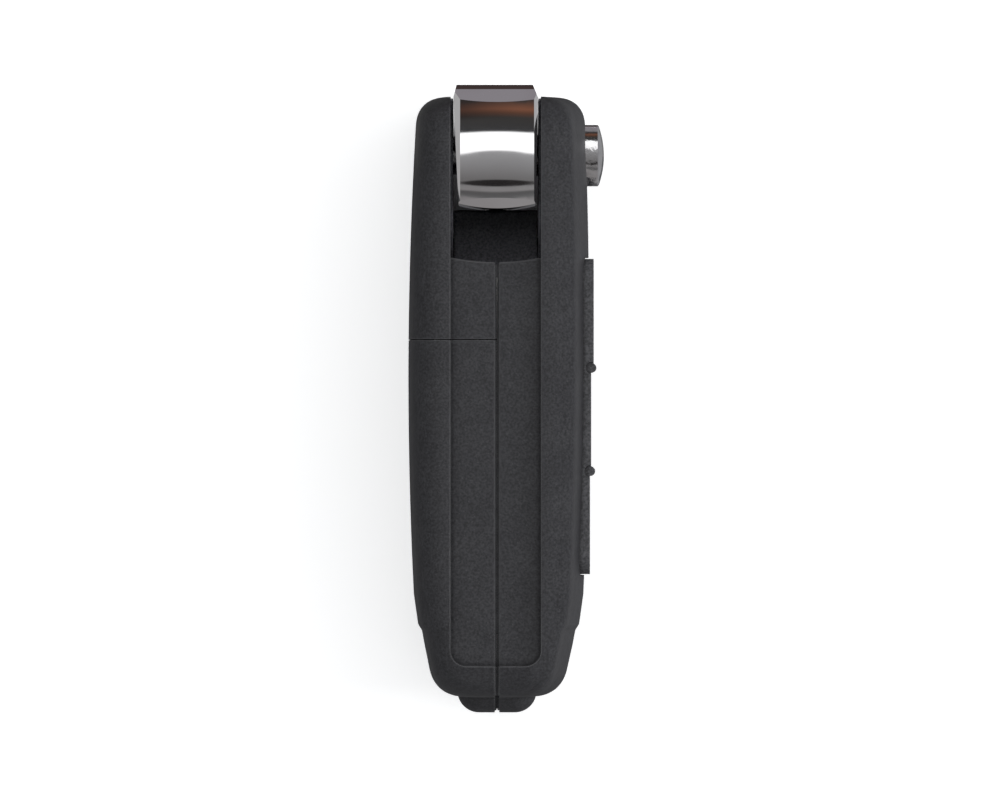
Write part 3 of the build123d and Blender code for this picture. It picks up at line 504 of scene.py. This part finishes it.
def dress_metal():
    """A material for every CAD node of metal."""
    turned = steel("turned_steel", (0.50, 0.50, 0.51), (0.66, 0.66, 0.67), (0.2, 0.35))
    blade = steel("blade_steel", (0.52, 0.51, 0.50), (0.66, 0.66, 0.65), (0.22, 0.36), (0.05, 1.0, 1.0))
    contact = steel("contact_metal", (0.55, 0.50, 0.40), (0.72, 0.66, 0.54), (0.25, 0.4))
    spring = steel("spring_steel", (0.35, 0.35, 0.35), (0.52, 0.52, 0.52), (0.25, 0.4))
    give(chrome("bright_chrome"), "blade_carrier")
    give(worn_chrome("button_chrome"), "release_button")
    give(turned, "coin_cell", "quartz_crystal", "head_screw", "tail_screw")
    give(turned, "pivot_shaft", "release_plunger", "blade_pin")
    give(blade, "key_blade")
    give(contact, "battery_contact_positive", "battery_contact_negative")
    give(spring, "flip_spring", "release_spring")


# Pieces beside the CAD nodes

def make_short_spring():
    """The release spring again, as a piece with a mesh of its own on the spring's body, the CAD node
    hidden.
    """
    coil = bpy.data.objects.new("release_coil", frame["nodes"]["release_spring"].data.copy())
    bpy.context.scene.collection.objects.link(coil)
    bodies = frame["record"]["behaviour"]["bodies"]
    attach(coil, next(body for body, held in bodies.items() if "release_spring" in held))
    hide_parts("release_spring")
    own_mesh(coil)


def lip(name, edges, thickness_axis, material):
    """A thin moulded lip: pairs of points, one pair per step, thickened evenly along one axis."""
    half = LIP_THICKNESS / 2
    points = []
    for pair in edges:
        for point in pair:
            for side in (-half, half):
                moved = list(point)
                moved[thickness_axis] += side
                points.append(moved)
    last = 4 * (len(edges) - 1)
    faces = [(0, 1, 3, 2), (last, last + 2, last + 3, last + 1)]
    for step in range(len(edges) - 1):
        a = 4 * step
        faces += [(a, a + 4, a + 5, a + 1), (a + 1, a + 5, a + 7, a + 3)]
        faces += [(a + 3, a + 7, a + 6, a + 2), (a + 2, a + 6, a + 4, a)]
    made = add_object(name, points, faces, material)
    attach(made, "root")


def make_lips():
    """The lip in the parting gap under the channel, and the lip behind the seam."""
    material = frame["nodes"]["inner_frame"].data.materials[0]
    case_low, case_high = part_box("rear_head_cover")
    top = case_high[2] - CHANNEL_DEPTH - GROOVE_DEPTH - LIP_INSET
    ends = (RECESS_EDGE_Y, CHANNEL_END_Y)
    along = [((PARTING_LINE_X, y, top), (PARTING_LINE_X, y, top - LIP_HEIGHT)) for y in ends]
    lip("parting_lip", along, 0, material)

    middle = (case_low[2] + case_high[2]) / 2
    half_width = (case_high[2] - case_low[2]) / 2
    across = []
    for count in range(SEAM_LIP_STEPS + 1):
        aside = SEAM_LIP_HALF * (2 * count / SEAM_LIP_STEPS - 1)
        outer = case_low[0] + SEAM_LIP_INSET + BACK_CROWN * (aside / half_width) ** 2
        inner = outer + SEAM_LIP_REACH
        across.append(((outer, SEAM_Y, middle + aside), (inner, SEAM_Y, middle + aside)))
    lip("seam_lip", across, 1, material)


# Studio

def background_factor(tree):
    """1 where the camera, a mirror or a lens sees the surface directly."""
    path = node(tree, "ShaderNodeLightPath")
    seen = calculate(tree, "MAXIMUM", path.outputs["Is Camera Ray"], path.outputs["Is Glossy Ray"])
    return calculate(tree, "MAXIMUM", seen, path.outputs["Is Transmission Ray"])


def make_world():
    """White behind everything, and a plain grey dome as light."""
    world = bpy.data.worlds.new("world")
    bpy.context.scene.world = world
    world.use_nodes = True
    tree = world.node_tree
    tree.nodes.clear()
    output = node(tree, "ShaderNodeOutputWorld")
    ambient = node(tree, "ShaderNodeBackground")
    ambient.inputs["Color"].default_value = (*AMBIENT_COLOUR, 1.0)
    ambient.inputs["Strength"].default_value = AMBIENT_STRENGTH
    white = node(tree, "ShaderNodeBackground")
    white.inputs["Color"].default_value = (1.0, 1.0, 1.0, 1.0)
    white.inputs["Strength"].default_value = 1.0
    mix = node(tree, "ShaderNodeMixShader")
    tree.links.new(background_factor(tree), mix.inputs[0])
    tree.links.new(ambient.outputs[0], mix.inputs[1])
    tree.links.new(white.outputs[0], mix.inputs[2])
    tree.links.new(mix.outputs[0], output.inputs["Surface"])


def make_floor():
    """A pale floor, white to the camera, that keeps the key's shadow; its glow fades near the key, a
    painted shadow.
    """
    material, tree, output = new_material("floor")
    diffuse = node(tree, "ShaderNodeBsdfDiffuse")
    diffuse.inputs["Color"].default_value = (*grey(FLOOR_SHADE), 1.0)
    glow = node(tree, "ShaderNodeEmission")
    glow.inputs["Color"].default_value = (1.0, 1.0, 1.0, 1.0)
    open_share = node(tree, "ShaderNodeAmbientOcclusion", samples=FLOOR_SAMPLES)
    open_share.inputs["Distance"].default_value = FLOOR_CLOSED_REACH
    # Painted shadow: the glow fades where the key closes in on the floor
    glow_and_painted_shadow = spread(tree, open_share.outputs["AO"], 0.0, FLOOR_GLOW, FLOOR_DARK_BELOW, FLOOR_BRIGHT_ABOVE)
    tree.links.new(multiply(tree, background_factor(tree), glow_and_painted_shadow), glow.inputs["Strength"])
    total = node(tree, "ShaderNodeAddShader")
    tree.links.new(diffuse.outputs[0], total.inputs[0])
    tree.links.new(glow.outputs[0], total.inputs[1])
    tree.links.new(total.outputs[0], output.inputs["Surface"])

    half = FLOOR_HALF
    corners = [(-half, -half, 0), (half, -half, 0), (half, half, 0), (-half, half, 0)]
    floor = add_object("floor", corners, [(0, 1, 2, 3)], material)


def area_light(name, place, target, width, height, watts):
    """A soft rectangular lamp aimed at a point, hidden from the camera and from gloss."""
    data = bpy.data.lights.new(name, "AREA")
    data.shape = "RECTANGLE"
    data.size = width
    data.size_y = height
    data.energy = watts
    lamp = bpy.data.objects.new(name, data)
    bpy.context.scene.collection.objects.link(lamp)
    lamp.location = place
    aim = Vector(target) - Vector(place)
    lamp.rotation_euler = aim.to_track_quat("-Z", "Y").to_euler()
    lamp.visible_camera = False
    lamp.visible_glossy = False


def make_lights():
    """A wide softbox overhead, just behind the head end, and a lamp from the right."""
    height = SOFTBOX_HEIGHT
    low = height * tan(radians(SOFTBOX_LOW))
    high = height * tan(radians(SOFTBOX_HIGH))
    head_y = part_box("blade_carrier")[0][1]
    middle = head_y + (low + high) / 2
    above = (0.0, middle, height)
    area_light("softbox", above, (0.0, middle, 0.0), SOFTBOX_WIDTH, high - low, SOFTBOX_WATTS)
    area_light("right_light", RIGHT_LIGHT_PLACE, RIGHT_LIGHT_TARGET, *RIGHT_LIGHT_SIZE, RIGHT_LIGHT_WATTS)


def card(name, points, faces, material):
    """A studio card that only mirrors and gloss can see."""
    made = add_object(name, points, faces, material)
    made.location = CARD_CENTRE
    made.visible_camera = False
    made.visible_diffuse = False
    made.visible_shadow = False
    made.visible_transmission = False
    made.visible_volume_scatter = False


def upright(x, low, high, material):
    """A card standing across the tunnel."""
    side = CARD_RADIUS
    points = [(x, -side, low), (x, side, low), (x, side, high), (x, -side, high)]
    card("upright_card", points, [(0, 1, 2, 3)], material)


def level(left, right, z, material):
    """A card lying along the tunnel."""
    side = CARD_RADIUS
    points = [(left, -side, z), (right, -side, z), (right, side, z), (left, side, z)]
    card("level_card", points, [(0, 1, 2, 3)], material)


def make_cards():
    """A tunnel of grey cards round the key, closed at both ends, for its metal to mirror."""
    material = tunnel_material()
    length = CARD_HALF_LENGTH
    points = []
    for count in range(ARCH_STEPS + 1):
        turn = radians(180.0 * count / ARCH_STEPS - 90.0)
        y = CARD_RADIUS * sin(turn)
        z = CARD_RADIUS * cos(turn)
        points += [(-length, y, z), (length, y, z)]
    faces = [(2 * count, 2 * count + 1, 2 * count + 3, 2 * count + 2) for count in range(ARCH_STEPS)]
    card("tunnel_arch", points, faces, material)

    low = FLOOR_CARD_HEIGHT - CARD_CENTRE[2]
    split_z = END_SPLIT_HEIGHT - CARD_CENTRE[2]
    upright(-length, low, split_z, plain_card("left_low", LEFT_END_SHADES[0]))
    upright(-length, split_z, CARD_RADIUS, plain_card("left_high", LEFT_END_SHADES[1]))
    upright(length, low, split_z, plain_card("right_low", RIGHT_END_SHADES[0]))
    upright(length, split_z, CARD_RADIUS, plain_card("right_high", RIGHT_END_SHADES[1]))
    level(-length, BRIGHT_FLOOR_FROM, low, material)
    level(BRIGHT_FLOOR_FROM, length, low, plain_card("right_floor", RIGHT_END_SHADES[0]))


def plain_card(name, shade):
    """One even shade."""
    material, tree, output = new_material(name)
    glow = node(tree, "ShaderNodeEmission")
    glow.inputs["Color"].default_value = (*shade, 1.0)
    tree.links.new(glow.outputs[0], output.inputs["Surface"])
    return material


def place_at(degrees):
    """Where an angle lies on a ramp from -180 to 180 degrees."""
    return (degrees + 180.0) / 360.0


def shade_lens(tree, turned, squared, bands):
    """Lay the dark oval over the bands."""
    off_centre = calculate(tree, "SUBTRACT", turned, place_at(LENS_CENTRE))
    reach = multiply(tree, off_centre, 360.0 / LENS_HALF)
    oval = calculate(tree, "MULTIPLY_ADD", squared, LENS_NARROWING, multiply(tree, reach, reach))
    lens = spread(tree, oval, 0.0, 1.0, *LENS_EDGE)
    return mix_colour(tree, lens, bands, LENS_SHADE)


def tunnel_material():
    """Bands across the tunnel, by angle from straight up, their edges bowed near the middle."""
    material, tree, output = new_material("tunnel_cards")
    place = node(tree, "ShaderNodeTexCoord")
    split = node(tree, "ShaderNodeSeparateXYZ")
    tree.links.new(place.outputs["Object"], split.inputs[0])
    angle = calculate(tree, "ARCTAN2", split.outputs["Y"], split.outputs["Z"])
    turned = spread(tree, angle, 0.0, 1.0, radians(-180.0), radians(180.0))
    aside = multiply(tree, split.outputs["X"], 1.0 / BOW_REACH)
    squared = multiply(tree, aside, aside)
    capped = calculate(tree, "MINIMUM", squared, BOW_MOST)
    shifts = [(place_at(degrees), grey(0.5 + shift / BOW_FULL)) for degrees, shift in BOW_SHIFTS]
    most = BOW_FULL / 720.0
    shift = spread(tree, ramp(tree, turned, shifts), -most, most)
    bowed = calculate(tree, "ADD", turned, multiply(tree, capped, shift))
    bands = ramp(tree, bowed, [(place_at(degrees), shade) for degrees, shade in CARD_SHADES])

    fade = spread(tree, aside, BROWN_FADE_MOST, 0.0, BROWN_FADE_FROM, BROWN_FADE_TO)
    brown = ramp(tree, bowed, [(place_at(degrees), grey(share)) for degrees, share in BROWN_BAND])
    bands = mix_colour(tree, multiply(tree, brown, fade), bands, LENS_SHADE)
    bands = shade_lens(tree, turned, squared, bands)

    right = calculate(tree, "GREATER_THAN", split.outputs["X"], BANDS_HALF_WIDTH)
    left = calculate(tree, "LESS_THAN", split.outputs["X"], -BANDS_HALF_WIDTH)
    colour = mix_colour(tree, right, bands, RIGHT_END_SHADES[1])
    colour = mix_colour(tree, left, colour, LEFT_END_SHADES[1])
    glow = node(tree, "ShaderNodeEmission")
    tree.links.new(colour, glow.inputs["Color"])
    tree.links.new(glow.outputs[0], output.inputs["Surface"])
    return material


bpy.context.scene.view_settings.view_transform = "Standard"
make_camera()
make_world()
make_floor()
make_lights()
make_cards()
dress_plastic()
dress_metal()
make_lips()
make_short_spring()
